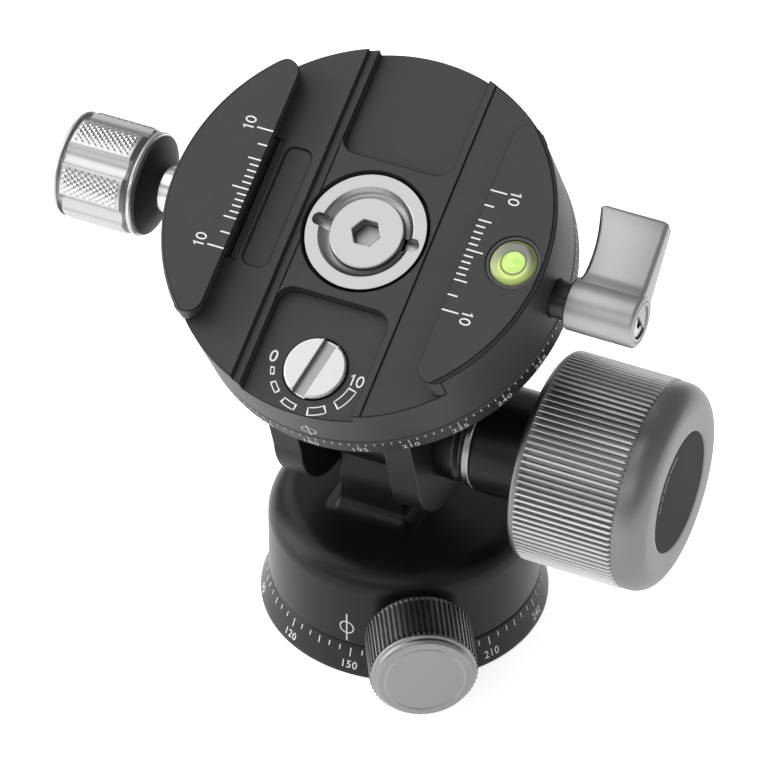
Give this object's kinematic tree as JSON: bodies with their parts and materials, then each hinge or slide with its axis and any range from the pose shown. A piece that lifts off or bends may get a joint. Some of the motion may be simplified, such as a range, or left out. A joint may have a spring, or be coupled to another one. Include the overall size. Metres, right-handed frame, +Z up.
{
  "type": "tripod head",
  "caption": "Two-way tripod head: round panning base, side-locked tilt hinge and a panning dovetail clamp with a sliding jaw, drag screw and level.",
  "frame": {"origin": "centre of the base's flat bottom, at the mouth of the tripod thread", "axes": "+Z up the pan axis, +X along the tilt hinge toward the large lock knob, -Y toward the side the clamp leans to at rest"},
  "size_m": [0.0985, 0.0629, 0.0974],
  "materials": {
    "anodised_black": "satin black anodised",
    "gunmetal": "satin titanium-grey anodised",
    "bright": "bright machined",
    "steel": "turned steel",
    "dark_steel": "black oxide",
    "bronze": "sintered bronze",
    "polymer": "low-friction polymer",
    "inlay": "matt",
    "level_green": "clear acrylic with green fluid",
    "bubble": "air bubble"
  },
  "bodies": {
    "base": {"base_plate": "anodised_black", "thread_insert": "steel", "pan_spindle": "steel", "base_screws": "dark_steel"},
    "housing": {"housing": "anodised_black", "neck": "anodised_black", "retaining_ring": "dark_steel", "lower_thrust_washer": "polymer", "upper_thrust_washer": "polymer", "tilt_bushing": "bronze", "pan_brake_shoe": "bronze", "pan_knob_collar": "bright"},
    "pan_knob": {"pan_stud": "steel", "pan_knob": "gunmetal", "pan_knob_cap": "gunmetal"},
    "yoke": {"yoke": "anodised_black", "tilt_bolt": "steel", "left_friction_disc": "bronze", "right_friction_disc": "bronze", "hinge_spacer": "anodised_black", "hinge_thrust_washer": "bright", "clamp_washer": "dark_steel", "lip_washer": "polymer", "centre_nut": "bright", "centre_screw": "bright"},
    "main_knob": {"knob_hub": "anodised_black", "knob_bush": "bronze", "disc_springs": "steel", "main_knob": "gunmetal", "main_knob_screw": "steel", "main_knob_inlay": "inlay"},
    "clamp": {"clamp_body": "anodised_black", "jaw_guide_pins": "steel", "jaw_springs": "steel", "top_brake_shoe": "bronze", "drag_spring": "steel", "drag_pad": "polymer", "level_cup": "dark_steel", "level_vial": "level_green", "level_bubble": "bubble"},
    "drag_screw": {"drag_screw": "bright"},
    "jaw": {"sliding_jaw": "anodised_black"},
    "clamp_knob": {"clamp_knob": "bright", "clamp_knob_rim": "bright", "clamp_knob_cone": "anodised_black", "clamp_sleeve": "bright", "clamp_screw": "steel"},
    "lever_stud": {"lever_stud": "dark_steel", "lever_spring": "steel", "lever_screw": "bright"},
    "lever": {"lever_arm": "gunmetal"}
  },
  "joints": [
    {"name": "base_pan", "type": "hinge", "parent": "base", "child": "housing", "pos_m": [0, 0, 0.01], "axis": [0, 0, 1], "continuous": true},
    {"name": "pan_knob_turn", "type": "hinge", "parent": "housing", "child": "pan_knob", "pos_m": [0.011, -0.01905, 0.0105], "axis": [0.5, -0.866, 0], "range_deg": [0, 270]},
    {"name": "tilt", "type": "hinge", "parent": "housing", "child": "yoke", "pos_m": [-0.002, -0.004, 0.0404], "axis": [1, 0, 0], "range_deg": [-75, 60]},
    {"name": "main_knob_turn", "type": "hinge", "parent": "yoke", "child": "main_knob", "pos_m": [0.03, -0.004, 0.0404], "axis": [1, 0, 0], "range_deg": [0, 360]},
    {"name": "top_pan", "type": "hinge", "parent": "yoke", "child": "clamp", "pos_m": [0, -0.01111, 0.07671], "axis": [0, -0.5, 0.866], "continuous": true},
    {"name": "drag_turn", "type": "hinge", "parent": "clamp", "child": "drag_screw", "pos_m": [0.0005, -0.03301, 0.06984], "axis": [0, -0.5, 0.866], "range_deg": [-80, 100]},
    {"name": "jaw_slide", "type": "slide", "parent": "clamp", "child": "jaw", "axis": [-1, 0, 0], "range_m": [-0.0005, 0.003], "deforming": ["jaw_springs"]},
    {"name": "clamp_knob_turn", "type": "hinge", "parent": "jaw", "child": "clamp_knob", "pos_m": [-0.04, -0.01143, 0.07727], "axis": [-1, 0, 0], "range_deg": [-180, 1080]},
    {"name": "lever_turn", "type": "hinge", "parent": "clamp", "child": "lever_stud", "pos_m": [0.031, -0.01183, 0.07797], "axis": [1, 0, 0], "range_deg": [-45, 45]},
    {"name": "lever_pull", "type": "slide", "parent": "lever_stud", "child": "lever", "axis": [1, 0, 0], "range_m": [0, 0.0025], "stiffness_N_per_m": 800, "springref_m": -0.0015, "deforming": ["lever_spring"]}
  ],
  "couplings": [
    {"joint": "clamp_knob_turn", "follows": "jaw_slide", "rad_per_m": 6283.2}
  ]
}
